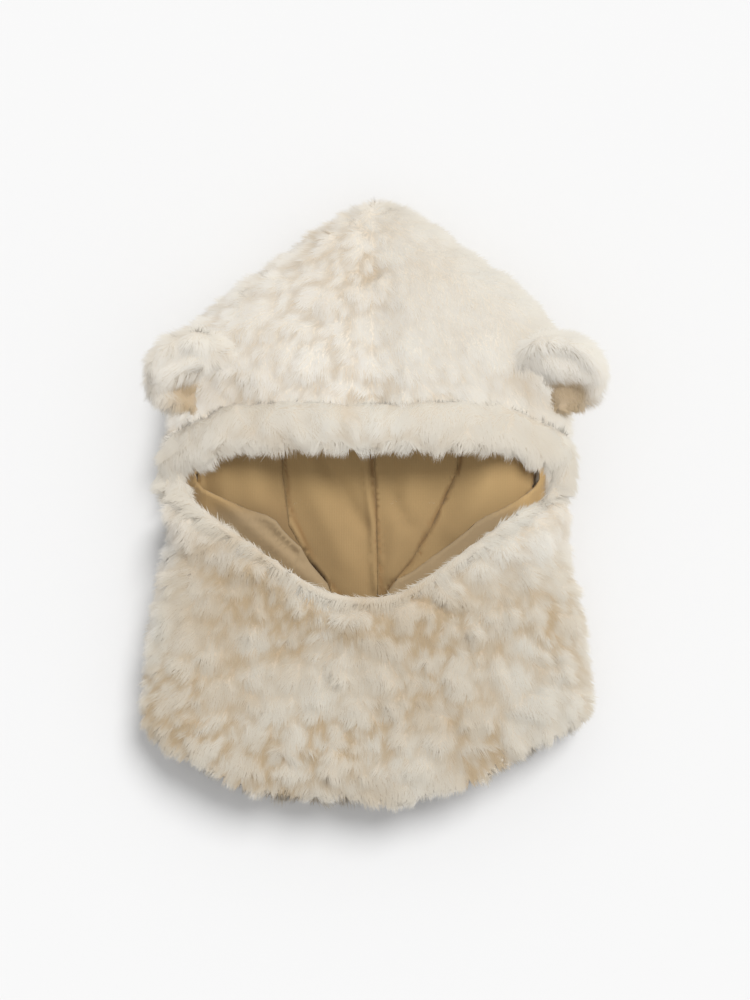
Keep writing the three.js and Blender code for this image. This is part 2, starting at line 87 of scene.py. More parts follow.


# Hollows and creases of the fur, pressed in and painted with shade, as pixels of the photograph from one end to the
# other, with their half width and depth in millimetres
FUR_CREASES = {
    "left cape crease": ([(226, 659), (248, 657), (265, 654), (337, 640)], 4, 3.0),
    "left cape hollow": ([(205, 612), (250, 602), (300, 625)], 9, 2.2),
    "left shoulder hollow": ([(158, 575), (200, 570), (245, 590)], 7, 2.0),
    "right cape crease": ([(462, 640), (500, 645), (535, 660)], 5, 2.5),
    "right shoulder hollow": ([(520, 590), (550, 600), (560, 625)], 7, 2.5),
    "under the right edge": ([(455, 605), (480, 585), (512, 568)], 6, 2.5),
    "foot of the left ear": ([(210, 393), (236, 392)], 6, 2.0),
    "foot of the right ear": ([(516, 374), (528, 390), (552, 405)], 5, 2.5),
}

# Where the fur of the hood and the cape swells up to the rolled rim, with the half width and height alike
FUR_SWELLS = {
    "hood over the brow": ([(165, 440), (215, 422), (280, 414), (375, 410), (470, 412), (535, 422),
                            (565, 440)], 12, 4.5),
    "cape under the opening": ([(165, 514), (220, 542), (270, 582), (322, 612), (371, 624), (405, 610),
                                (452, 580), (506, 542), (558, 514)], 12, 5.0),
}

# Where the outline of the fur is moved out, or in if below 0: the line, its half width, and how far on the upper
# layer and on the one that lies on the floor, in millimetres
OUTLINE_TRIMS = {
    "left slope of the hood": ([(285, 250), (350, 203)], 14, -2.0, -2.0),
    "tip of the hood": ([(355, 200), (395, 200)], 14, -1.5, -1.5),
    "right slope of the hood": ([(400, 202), (440, 224), (500, 266), (560, 322)], 14, 1.0, 1.0),
    "left waist": ([(163, 500), (163, 545)], 14, -2.5, -2.5),
    "right waist": ([(578, 500), (581, 620)], 16, 1.0, 1.0),
    "left of the hem": ([(150, 735), (200, 777), (240, 792)], 14, 6.0, 0.5),
    "right of the hem": ([(400, 802), (510, 777), (585, 728)], 14, 8.0, 1.5),
}

# How each kind of fur differs: the size of its tufts, how far they stand out, how much painted shade darkens it, how
# warm it is and how much painted shade warms it between its tufts, and how long and how upright its hairs are
FURS = {
    "hood": {"tufts": 1.0, "relief": 0.7, "painted_dimming": 0.2, "warm": 0.1, "between": 0.72, "long": 1.0, "lift": 1.0},
    "cape": {"tufts": 1.0, "relief": 0.95, "painted_dimming": 0.05, "warm": 0.1, "between": 0.95, "long": 1.0, "lift": 1.0},
    "rim": {"tufts": 1.3, "relief": 0.5, "painted_dimming": 0.72, "warm": 0.14, "between": 0.35, "long": 1.2, "lift": 0.5},
    "ear": {"tufts": 0.9, "relief": 0.5, "painted_dimming": 0.4, "warm": 0.04, "between": 1.7, "long": 1.2, "lift": 0.7},
}

# The two sizes of tufts, large and small: their spacing and height as shares, and their share in the hollows
TUFT_SIZES = ((1.75, 1.15, 0.5), (0.75, 0.6, 0.5))

# How far the tufts, swells and creases may press the fur in or raise it, and the height over the floor from which
# it settles flat
DEEPEST = 4.5 * MM
HIGHEST = 6 * MM
SETTLES = 4 * MM

# How the rim is moved to fit the opening, in millimetres: its brow and its rear side up, its right edge across and
# up, and its foot up. The ears go inwards, and their lower edge up
RIM_MOVES = {"brow": 4.2, "rear": 6, "right": (-2.5, 4.0), "foot": 2.5}
EAR_MOVES = {"in": 2.5, "up": 4}

# How the lining is moved, in millimetres: the facing up at the brow, and what the hood hides down and inwards, that
# by a share of its width
FACING_UP = 6.5
HIDDEN_DOWN = 5
HIDDEN_IN = 0.09

# The small open hollow at the foot of each ear's cup: its middle as a pixel and its half widths in millimetres
EAR_HOLLOWS = {"ear_left": ((195, 398), (16, 11)), "ear_right": ((566, 398), (14, 12))}

# Seams of the lining and its folds, in the same pixels, the folds with their half width and how far they stand up,
# or down if below 0, in millimetres
LINING_SEAMS = [
    [(283, 300), (283, 457), (288, 506), (298, 527), (313, 565), (330, 585), (352, 611)],
    [(371, 300), (371.5, 464), (374.5, 496), (378, 527), (381, 586), (383, 612)],
    [(463, 300), (462, 461), (458, 477), (446, 498), (427, 533), (421, 553), (404, 575), (389, 591), (386, 612)],
]
LINING_FOLDS = {
    "valley of the left back gore": ([(322, 430), (325, 461), (337, 481), (354, 512), (362, 525)], 5, -2.4),
    "swell of the left back gore": ([(303, 430), (308, 480), (325, 520), (345, 560)], 8, 2.2),
    "ridge left of the middle seam": ([(365, 420), (366, 470), (369, 500), (373, 530), (376, 590)], 2.6, 2.2),
    "valley of the right back gore": ([(390, 430), (391, 489), (400, 510), (407, 524)], 5, -2.0),
    "swell of the right back gore": ([(420, 430), (412, 490), (395, 545), (392, 575)], 7, 2.2),
    "swell of the left side gore": ([(255, 460), (262, 500), (290, 540)], 9, 2.5),
    "swell of the right side gore": ([(500, 455), (485, 490), (455, 530)], 9, 2.5),
}
FACING_FOLDS = {
    "crease inside the left edge": ([(205, 477), (240, 505), (285, 545), (330, 585)], 2.2, -2.2),
    "roll of the left facing": ([(205, 490), (240, 516), (285, 555), (325, 588)], 4, 1.6),
    "fold inside the right edge": ([(539, 478), (501, 495), (476, 509), (436, 532)], 4, -2.0),
}


def smooth(share):
    """A share from 0 to 1, eased at both ends."""
    share = np.clip(share, 0.0, 1.0)
    return share * share * (3 - 2 * share)


def lattice(cells, seed):
    """A number from -1 to 1 for each whole-numbered cell."""
    wave = np.sin(cells @ np.array([127.1, 311.7, 74.7]) + seed * 17.13) * 43758.5453
    return (wave - np.floor(wave)) * 2 - 1


def noise(points, size, seed):
    """Smooth noise from -1 to 1 at many points, with features of about that size."""
    scaled = points / size
    low = np.floor(scaled)
    part = smooth(scaled - low)
    total = np.zeros(len(points))
    for corner in np.ndindex(2, 2, 2):
        corner = np.array(corner)
        weight = np.prod(np.where(corner == 1, part, 1 - part), axis=1)
        total += weight * lattice(low + corner, seed)
    return total


def columns(*parts):
    """An array with the parts side by side, each a row of numbers or one number for all."""
    return np.stack(np.broadcast_arrays(*parts), axis=1)


def unit(vectors):
    """The same directions with length one."""
    return vectors / np.maximum(np.linalg.norm(vectors, axis=-1, keepdims=True), 1e-12)


def line_distance(points, line):
    """How far each point of the plan is from a line through pixels of the photograph."""
    corners = np.array([place(*pixel) for pixel in line])
    nearest = np.full(len(points), 1e9)
    for start, end in zip(corners, corners[1:]):
        along = end - start
        share = np.clip(((points[:, :2] - start) @ along) / (along @ along), 0, 1)
        nearest = np.minimum(nearest, np.linalg.norm(points[:, :2] - start - share[:, None] * along, axis=1))
    return nearest


def along(points, line, wide):
    """A share from 0 to 1 that is highest along a line and fades over a half width in millimetres."""
    away = line_distance(points, line) / (wide * MM)
    return np.exp(-away * away)


def only(piece):
    """Makes one piece the selected and active one."""
    bpy.ops.object.select_all(action="DESELECT")
    piece.select_set(True)
    bpy.context.view_layer.objects.active = piece


def finished(piece, kind, **settings):
    """Adds a modifier to a piece and applies it."""
    only(piece)
    modifier = piece.modifiers.new(kind.title(), kind)
    for name, value in settings.items():
        setattr(modifier, name, value)
    bpy.ops.object.modifier_apply(modifier=modifier.name)


def copy_of(node, name):
    """A copy of a CAD node as a new piece, with its loose triangles merged."""
    piece = bpy.data.objects.new(name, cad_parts[node].data.copy())
    bpy.context.scene.collection.objects.link(piece)
    piece.data.materials.clear()
    only(piece)
    bpy.ops.object.mode_set(mode="EDIT")
    bpy.ops.mesh.select_all(action="SELECT")
    bpy.ops.mesh.remove_doubles(threshold=0.01 * MM)
    bpy.ops.object.mode_set(mode="OBJECT")
    return piece


def rows_of(items, name, width, kind=np.float32):
    """One property of all vertices, edges or faces of a mesh, as the rows of an array."""
    values = np.zeros(len(items) * width, kind)
    items.foreach_get(name, values)
    return values.reshape(-1, width)


def points_of(mesh, kind="co"):
    """The places or normals of a mesh's vertices, as an array."""
    return rows_of(mesh.vertices, kind, 3).astype(float)


def set_points(mesh, points):
    """Moves a mesh's vertices."""
    mesh.vertices.foreach_set("co", points.astype(np.float32).ravel())
    mesh.update()


def set_values(mesh, name, values):
    """Stores one number for each vertex of a mesh."""
    stored = mesh.attributes.get(name) or mesh.attributes.new(name, "FLOAT", "POINT")
    stored.data.foreach_set("value", values.astype(np.float32))


def tree_of(nodes):
    """A search tree over the triangles of several CAD nodes."""
    points, faces = [], []
    for node in nodes:
        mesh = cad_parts[node].data
        start = len(points)
        points += [vertex.co.copy() for vertex in mesh.vertices]
        faces += [[start + i for i in face.vertices] for face in mesh.polygons]
    return BVHTree.FromPolygons(points, faces)


LINING_TREE = tree_of(LINING_CUTS)


class Level:
    """A number that varies over a surface: a shader socket that takes part in sums and products."""

    def __init__(self, finish, socket):
        self.finish = finish
        self.socket = socket

    def maths(self, operation, first, second):
        made = self.finish.node("ShaderNodeMath", {"operation": operation}, {0: first, 1: second})
        return Level(self.finish, made.outputs[0])

    def __add__(self, other):
        return self.maths("ADD", self, other)

    def __radd__(self, other):
        return self.maths("ADD", other, self)

    def __mul__(self, other):
        return self.maths("MULTIPLY", self, other)

    def __rmul__(self, other):
        return self.maths("MULTIPLY", other, self)


class Finish:
    """A material in the making, around one Principled shader."""

    def __init__(self, name, constants):
        self.material = bpy.data.materials.new(name)
        self.material.use_nodes = True
        self.tree = self.material.node_tree
        self.shader = next(n for n in self.tree.nodes if n.type == "BSDF_PRINCIPLED")
        for socket, value in constants.items():
            self.shader.inputs[socket].default_value = value

    def feed(self, socket, value):
        """Links a level or an output to a socket, or sets its value."""
        if isinstance(value, Level):
            value = value.socket
        if isinstance(value, bpy.types.NodeSocket):
            self.tree.links.new(value, socket)
        else:
            socket.default_value = value

    def node(self, kind, settings=None, sockets=None):
        """Adds a node: its settings come first, then the values or links of its sockets."""
        made = self.tree.nodes.new(kind)
        for name, value in (settings or {}).items():
            setattr(made, name, value)
        for name, value in (sockets or {}).items():
            self.feed(made.inputs[name], value)
        return made

    def attribute(self, name):
        """A number stored on the piece's vertices."""
        return Level(self, self.node("ShaderNodeAttribute", {"attribute_name": name}).outputs["Fac"])

    def grain(self, size, detail=2.0, stretch=(1.0, 1.0, 1.0)):
        """Noise over the piece with grains of that size in metres, from 0 to 1."""
        where = self.node("ShaderNodeTexCoord").outputs["Object"]
        mapping = self.node("ShaderNodeMapping", None, {"Vector": where, "Scale": stretch})
        sockets = {"Vector": mapping.outputs["Vector"], "Scale": 1 / size, "Detail": detail}
        return Level(self, self.node("ShaderNodeTexNoise", None, sockets).outputs["Fac"])

    def blend(self, share, first, second):
        """Two colours mixed by a share."""
        made = self.node("ShaderNodeMix", {"data_type": "RGBA", "blend_type": "MIX"})
        self.feed(made.inputs[0], share)
        self.feed(made.inputs[6], first)
        self.feed(made.inputs[7], second)
        return made.outputs[2]

    def bump(self, height, distance, strength):
        """Relief on the surface that a height gives."""
        sockets = {"Height": height, "Distance": distance, "Strength": strength}
        made = self.node("ShaderNodeBump", None, sockets)
        self.feed(self.shader.inputs["Normal"], made.outputs["Normal"])

    def let_light_through(self, share, tint):
        """Lets a share of the light come through from behind, as a thin pale hair does."""
        through = self.node("ShaderNodeBsdfTranslucent", None, {"Color": tint})
        output = next(n for n in self.tree.nodes if n.type == "OUTPUT_MATERIAL")
        sockets = {0: share, 1: self.shader.outputs["BSDF"], 2: through.outputs["BSDF"]}
        mixed = self.node("ShaderNodeMixShader", None, sockets)
        self.tree.links.new(mixed.outputs[0], output.inputs["Surface"])


def colour(rgb):
    """A colour with full cover."""
    return (*rgb, 1.0)


def hair_finish(sizes):
    """Fur hairs: warm at the root and paler at the tip, darkened and warmed by painted shade where the piece says so.
    """
    finish = Finish("cream fur hairs", {"Roughness": 0.62, "Sheen Weight": 0.35, "Sheen Roughness": 0.5})
    base = finish.blend(finish.attribute("pile"), colour(sizes.root_colour), colour(sizes.tip_colour))
    # Painted shade: darker where the piece says the fur turns from the light
    painted_shade_mix = finish.blend(finish.attribute("painted_dimming"), base, colour(sizes.painted_shade_colour))
    # Painted shade warms the hairs between tufts, in creases and down the cape, over warmth that differs at random
    warm = finish.blend(finish.attribute("tone_and_painted_shade"), painted_shade_mix, colour(sizes.warm_tone_and_shade_colour))
    finish.feed(finish.shader.inputs["Base Color"], warm)
    finish.let_light_through(finish.attribute("through"), colour(sizes.tip_colour))
    return finish.material


def underfur_finish(sizes):
    """The dense pile under the hairs, matt with a fine fibrous relief: its tan is partly its own colour and partly
    painted shade that stands in for the hairs' shadows, with more painted shade where the piece says so.
    """
    finish = Finish("cream underfur", {"Roughness": 0.9, "Sheen Weight": 0.3})
    fibres = finish.grain(1.1 * MM, 3.0, (1.0, 0.35, 1.0))
    # Painted shade: darker where the piece says the fur turns from the light
    painted_shade_mix = finish.blend(finish.attribute("painted_dimming"), colour(sizes.underfur_colour_and_shade), colour(sizes.underfur_painted_shade_colour))
    # Painted shade in the creases and between the tufts, over warmth that differs at random
    shaded = finish.blend(finish.attribute("tone_and_painted_shade"), painted_shade_mix, colour(sizes.deep_colour))
    backed = finish.blend(finish.attribute("backing"), shaded, colour(sizes.backing_colour))
    finish.feed(finish.shader.inputs["Base Color"], backed)
    finish.bump(fibres, 0.5 * MM, 0.5)
    return finish.material


def lining_finish(sizes):
    """Cream knitted lining: fine upright ribs of stitches, with a slight cloudiness, painted shade on each gore and
    on the turned-in edge, and darker seams.
    """
    finish = Finish("cream jersey", {"Roughness": 0.85, "Sheen Weight": 0.15})
    where = finish.node("ShaderNodeTexCoord").outputs["Object"]
    wales = finish.node(
        "ShaderNodeTexWave",
        {"wave_type": "BANDS", "bands_direction": "X"},
        {"Vector": where, "Scale": 1 / (sizes.stitch * 6.4), "Distortion": 1.2, "Detail": 2.0, "Detail Scale": 2.0},
    )
    courses = finish.node(
        "ShaderNodeTexWave",
        {"wave_type": "BANDS", "bands_direction": "Y"},
        {"Vector": where, "Scale": 1 / (sizes.stitch * 7.6), "Distortion": 1.0, "Detail": 1.0},
    )
    stitches = Level(finish, wales.outputs["Fac"]) * 0.7 + Level(finish, courses.outputs["Fac"]) * 0.3
    # Random clouds and each gore's painted shade, lightened with painted light near the brow
    clouds = finish.grain(22 * MM) * 0.2 + finish.attribute("shade")
    base = finish.blend(clouds, colour(sizes.light_colour), colour(sizes.colour))
    shaded = finish.blend(stitches * 0.12, base, colour(sizes.deep_colour))
    # Painted shade on the turned-in edge
    faced = finish.blend(finish.attribute("facing"), shaded, colour(sizes.facing_shade_colour))
    sewn = finish.blend(finish.attribute("seam"), faced, colour(sizes.seam_colour))
    finish.feed(finish.shader.inputs["Base Color"], sewn)
    finish.bump(stitches, 0.08 * MM, 0.4)
    return finish.material


def is_inner(points, normals):
    """Whether each point of a fur wall faces the lining close by, so that it is the wall's inside."""
    found = np.zeros(len(points), bool)
    for i, (point, normal) in enumerate(zip(points, normals)):
        start = Vector(point) - Vector(normal) * 1.5 * MM
        hit = LINING_TREE.ray_cast(start, Vector(normal), 6 * MM)
        found[i] = hit[0] is not None
    return found


def depth_under(piece, points, normals):
    """How thick a closed piece is under each of its vertices."""
    tree = BVHTree.FromPolygons([Vector(p) for p in points], [list(face.vertices) for face in piece.data.polygons])
    depth = np.full(len(points), 30 * MM)
    for i, (point, normal) in enumerate(zip(points, normals)):
        start = Vector(point) - Vector(normal) * 0.3 * MM
        hit = tree.ray_cast(start, -Vector(normal), 30 * MM)
        if hit[0] is not None:
            depth[i] = hit[3]
    return depth


def spread_out(points, spacing, rng):
    """Picks points at least about that far from each other."""
    cells = {}
    chosen = []
    for index in rng.permutation(len(points)):
        point = points[index]
        cell = tuple(np.floor(point / spacing).astype(int))
        close = False
        for step in np.ndindex(3, 3, 3):
            for other in cells.get((cell[0] + step[0] - 1, cell[1] + step[1] - 1, cell[2] + step[2] - 1), ()):
                close = close or np.sum((points[other] - point) ** 2) < spacing * spacing
        if not close:
            cells.setdefault(cell, []).append(index)
            chosen.append(index)
    return np.array(chosen)


def nearest_two(points, centres):
    """The nearest centre of each point, its distance, and the distance of the next one."""
    tree = KDTree(len(centres))
    for i, centre in enumerate(centres):
        tree.insert(centre, i)
    tree.balance()
    nearest = np.zeros(len(points), int)
    first = np.zeros(len(points))
    second = np.zeros(len(points))
    for i, point in enumerate(points):
        found = tree.find_n(point, 2)
        nearest[i] = found[0][1]
        first[i] = found[0][2]
        second[i] = found[-1][2]
    return nearest, first, second


def clumpiness(points):
    """How strongly the fur gathers in tufts over the plan: less on the brushed right side of the hood."""
    x, y = points[:, 0], points[:, 1]
    above_brow = smooth((y - place(0, 425)[1]) / (20 * MM))
    right = smooth((x - place(372, 0)[0]) / (16 * MM))
    low = smooth((place(0, 400)[1] + 35 * MM - y) / (35 * MM))
    brushed = above_brow * right * (1 - 0.6 * low)
    patchy = 0.82 + 0.3 * noise(points, 38 * MM, 5)
    return np.clip(patchy * (1 - 0.72 * brushed), 0.12, 1.2)


def flow(points, normals, kind):
    """Which way the pile is brushed at each point."""
    x, y = points[:, 0], points[:, 1]
    if kind == "rim":
        brow = smooth((y + 8 * MM) / (26 * MM))[:, None]
        away = unit(columns(x, y - place(0, 500)[1], 0.0))
        sway = 0.3 * noise(points, 18 * MM, 13)
        below = away * [1.0, 1.2, 1.0] + columns(sway, -0.3, -0.2)
        sway = 0.35 * noise(points, 18 * MM, 14)
        above = columns(sway, -1.0, -0.15)
        over = smooth((normals[:, 1:2] - 0.3) / 0.5) * brow
        above = above * (1 - over) + np.array([0, 0.7, 0.8]) * over
        return above * brow + below * (1 - brow)
    if kind == "ear":
        side = np.sign(np.mean(x))
        inward = smooth((94 * MM - np.abs(x)) / (14 * MM))
        return columns(side * (0.35 - 1.3 * inward), -0.5, -0.1)
    if kind == "hood":
        across = 0.25 * np.sign(x) + 0.6 * noise(points, 42 * MM, 11) + np.where(x < 0, -0.1, 0.1)
        return columns(across, -1.0, 0.0)
    across = 3.2 * x + 0.5 * noise(points, 36 * MM, 12)
    return columns(across, -1.0, -0.25)


UPWARD = np.array([0.0, 0, 1])

# The plane where the two halves of the hood are sewn together, as a point and its normal
CROWN_SEAM = (np.array([-3.15 * MM, 0.1 * MM, 0]), np.array([1, -0.05, 0]))

# Tufts are wider than they are tall, so distances count for more up the hood than across it
FLAT = np.array([0.85, 1.25, 1.0])


def hollow_distance(points, ear):
    """How far points of the plan are from the middle of an ear's hollow, counted in its half widths."""
    middle, halves = EAR_HOLLOWS[ear]
    return np.linalg.norm((points[:, :2] - place(*middle)) / (np.array(halves) * MM), axis=1)


def spikes(name, points, soft):
    """A mesh of closed spikes with four corners each: the last is the tip, and the second face is the upper one.

    The upper face is shaded as the pile round it, and the other three by their own directions."""
    count = len(points) // 4
    pattern = np.array([[0, 1, 2], [0, 3, 1], [1, 3, 2], [2, 3, 0]])
    faces = (np.arange(count)[:, None, None] * 4 + pattern).reshape(-1, 3)
    mesh = bpy.data.meshes.new(name)
    mesh.vertices.add(len(points))
    mesh.vertices.foreach_set("co", points.astype(np.float32).ravel())
    mesh.loops.add(faces.size)
    mesh.loops.foreach_set("vertex_index", faces.astype(np.int32).ravel())
    mesh.polygons.add(len(faces))
    mesh.polygons.foreach_set("loop_start", np.arange(0, faces.size, 3, dtype=np.int32))
    mesh.update(calc_edges=True)
    mesh.validate()
    a, b, c = (points[faces[:, k]] for k in range(3))
    facing = unit(np.cross(b - a, c - a)).reshape(count, 4, 3)
    facing[:, 1] = soft
    mesh.shade_smooth()
    mesh.normals_split_custom_set(np.repeat(facing.reshape(-1, 3), 3, axis=0))
    return mesh


def fill_cup(shell, ear, step):
    """Fills the cup of an ear with deep pile, all but the small hollow at its foot, and sinks its inner end."""
    points = points_of(shell.data)
    normals = points_of(shell.data, "normal")
    middle = (points.max(axis=0) + points.min(axis=0)) / 2
    from_middle = points[:, :2] - middle[:2]
    facing_in = np.sum(unit(-from_middle) * normals[:, :2], axis=1)
    inside = (facing_in > 0.1) | (normals[:, 2] > 0.45)
    top = points[:, 2].max() - 7 * MM - 11 * np.sum(from_middle ** 2, axis=1)
    share = smooth((hollow_distance(points, ear) - 0.55) / 0.95)
    level = points[:, 2].min() + 12 * MM + share * (top - points[:, 2].min() - 12 * MM)
    points[:, 2] = np.where(inside, np.maximum(points[:, 2], level), points[:, 2])
    inner_end = smooth((101 * MM - np.abs(points[:, 0] - MIDDLE_X)) / (17 * MM))
    points[:, 2] -= 13 * MM * inner_end * smooth((points[:, 2] - 48 * MM) / (10 * MM))
    set_points(shell.data, points)
    finished(shell, "REMESH", mode="VOXEL", voxel_size=step)


class Coat:
    """The fur of one piece: its shell, the tufts that it gathers in and the hairs that grow from it."""

    def __init__(self, name, nodes, kind, sizes, seed):
        self.name = name
        self.nodes = nodes
        self.kind = kind
        self.like = FURS[kind]
        self.sizes = sizes
        self.rng = np.random.default_rng(seed)
        self.seed = seed

    def joined_copy(self):
        """The panels of the piece as one mesh, drawn a little apart at the seam over the crown."""
        parts = [copy_of(node, self.name) for node in self.nodes]
        for part in parts if len(parts) > 1 else []:
            points = points_of(part.data)
            away = beyond_crown(points)
            side = np.sign(np.median(away))
            on_plane = np.abs(away) < 1.0 * MM
            points[on_plane] -= unit(CROWN_SEAM[1]) * side * 1.5 * MM
            set_points(part.data, points)
        only(parts[0])
        for part in parts[1:]:
            part.select_set(True)
            bpy.ops.object.join()
        return parts[0]

    def tufts(self, points, normals):
        """How far the tufts raise each point, and how far up its tuft it is, from 0 to 1."""
        outer = points[~self.inner]
        relief = np.zeros(len(points))
        dome = np.zeros(len(points))
        for size, height, share in TUFT_SIZES:
            spacing = self.sizes.tuft_size * size * self.like["tufts"]
            picked = spread_out(outer, spacing, self.rng)
            self.centres = outer[picked]
            self.centre_normals = normals[~self.inner][picked]
            wobble = np.stack([noise(points, spacing * 0.7, self.seed + k) for k in range(3)], axis=1) * spacing * 0.4
            nearest, first, second = nearest_two((points + wobble) * FLAT, self.centres * FLAT)
            rounded = smooth(np.clip((second - first) / spacing, 0, 1) * 1.2)
            overhang = np.clip((self.centres[nearest, 1] - points[:, 1]) / spacing, -0.6, 0.6)
            tall = 0.75 + 0.5 * lattice(nearest[:, None] * np.ones(3), 51)
            relief += self.sizes.tuft_height * height * (rounded * (1 + 0.5 * overhang) * tall - 0.4)
            dome += share * rounded
        return relief * (clumpiness(points) * self.like["relief"]), dome

    def swells(self, points, normals):
        """How far the fur swells towards the rim of the face, or draws in at the foot of the rim itself."""
        swell = np.zeros(len(points))
        if self.kind in ("hood", "cape"):
            for line, wide, high in FUR_SWELLS.values():
                swell += high * MM * along(points, line, wide) * smooth(normals[:, 2] * 2)
        if self.kind == "rim":
            swell -= 2.5 * MM * smooth((10 * MM - points[:, 1]) / (20 * MM))
        return swell

    def fit_outline(self, moved, points, normals, free):
        """Moves the shell sideways, so that the outline of its fur is the photograph's."""
        sideways = unit(normals * [1, 1, 0]) * (free * (1 - normals[:, 2] ** 2))[:, None]
        for line, wide, by, below in OUTLINE_TRIMS.values() if self.kind in ("hood", "cape") else []:
            out = by + (below - by) * smooth((22 * MM - points[:, 2]) / (10 * MM))
            moved += sideways * (out * MM * along(points, line, wide))[:, None]
        if self.kind == "rim":
            middle = smooth((96 * MM - np.abs(points[:, 0] - MIDDLE_X)) / (20 * MM))
            upper = smooth((points[:, 1] - 4 * MM) / (20 * MM))
            moved[:, 1] += (RIM_MOVES["brow"] * middle + RIM_MOVES["rear"] * smooth(normals[:, 1])) * MM * upper
            right = smooth((points[:, 0] - 4 * MM) / (22 * MM)) * smooth((4 * MM - points[:, 1]) / (12 * MM))
            moved[:, :2] += np.array(RIM_MOVES["right"]) * MM * right[:, None]
            foot = smooth((-20 * MM - points[:, 1]) / (20 * MM))
            moved[:, 1] += RIM_MOVES["foot"] * MM * foot * (1 - right)
        if self.kind == "ear":
            moved[:, 0] -= np.sign(np.mean(points[:, 0])) * EAR_MOVES["in"] * MM
            moved[:, 1] += EAR_MOVES["up"] * MM * smooth((np.mean(points[:, 1]) - points[:, 1]) / (22 * MM))
        moved[:, 2] = np.maximum(moved[:, 2], 0.0)

    def make_shell(self):
        """A soft shell from the CAD nodes: remeshed, smoothed, then raised in tufts and pressed in creases."""
        sizes = self.sizes
        shell = self.joined_copy()
        finished(shell, "REMESH", mode="VOXEL", voxel_size=sizes.shell_step)
        if self.kind == "ear":
            fill_cup(shell, self.nodes[0], sizes.shell_step)
        finished(shell, "SMOOTH", factor=0.5, iterations=sizes.shell_smoothing)
        points = points_of(shell.data)
        normals = points_of(shell.data, "normal")
        self.inner = is_inner(points, normals) & ((normals[:, 2] < 0.2) | (points[:, 2] < 28 * MM))
        room = 0.3 * depth_under(shell, points, normals)
        relief, dome = self.tufts(points, normals)
        broad = 1.5 * MM * noise(points, 26 * MM, self.seed + 7)
        pressed = np.zeros(len(points))
        for line, wide, deep in FUR_CREASES.values():
            pressed += deep * MM * along(points, line, wide) * (normals[:, 2] > 0)
        relief = relief + broad + self.swells(points, normals) - pressed - sizes.inset
        relief = np.clip(relief, -np.minimum(DEEPEST, room), HIGHEST)
        if self.kind == "ear":
            relief += sizes.ear_puff
        on_floor = smooth((SETTLES - points[:, 2]) / SETTLES) * (normals[:, 2] < -0.2)
        free = np.where(self.inner, 0.0, 1 - on_floor)
        moved = points + normals * (relief * free - np.minimum(sizes.wall_gap, room) * self.inner)[:, None]
        self.fit_outline(moved, points, normals, free)
        set_points(shell.data, moved)
        finished(shell, "SMOOTH", factor=0.5, iterations=2)
        set_values(shell.data, "backing", self.inner * float(self.kind != "rim"))
        # Where painted shade warms the fur: between its tufts, in the pressed creases and in the hollow at the foot
        # of each ear
        parted = np.clip(0.75 + 0.8 * noise(points, 34 * MM, self.seed + 9), 0.15, 1.5)
        hollow = smooth((0.55 - dome) / 0.55) * clumpiness(points) * parted
        hollow = np.clip(hollow + pressed / (7 * MM), 0, 1)
        if self.kind == "ear":
            at_foot = smooth((1.45 - hollow_distance(points, self.nodes[0])) / 0.9)
            hollow = 0.25 * hollow + at_foot * (normals[:, 2] > -0.2)
        hollow = np.clip(hollow * free, 0, 1)
        set_values(shell.data, "hollow", hollow)
        painted_dimming, warm = self.tones(points, normals, hollow)
        set_values(shell.data, "painted_dimming", painted_dimming)
        set_values(shell.data, "tone_and_painted_shade", warm)
        only(shell)
        bpy.ops.object.shade_smooth()
        self.shell = shell
        return shell

    def tones(self, points, normals, hollow):
        """How much painted shade darkens and warms the fur: down the cape, on the hood's right, on sides facing the
        key light and between tufts, over warmth that differs at random.
        """
        # Painted shade: darker and warmer down the cape, where it slopes away from the light, and darker on the
        # hood's right and on sides facing the key light
        low = smooth((20 * MM - points[:, 1]) / (90 * MM)) * (0.15 + 0.85 * smooth(normals[:, 2] / 0.8))
        sunny = np.clip(normals @ unit(np.array([*KEY_FROM[:2], 0.0])), 0, 1)
        right = smooth((points[:, 0] - MIDDLE_X) / (12 * MM)) * (self.kind == "hood")
        painted_dimming = low * 1.12 + (self.like["painted_dimming"] + 0.2 * right) + 0.5 * sunny
        # Warmth that differs at random, with painted shade between the tufts, in the creases, in the ears' hollows
        # and down the cape
        clouds = 0.08 * noise(points, 14 * MM, 41) + 0.11 * noise(points, 31 * MM, 42)
        between = self.sizes.hollow_painted_shade * self.like["between"] * hollow
        warm = self.like["warm"] + clouds * (1 + low) + self.sizes.low_painted_shade * low + between
        return np.clip(painted_dimming, 0, 1), np.clip(warm, 0, 1)

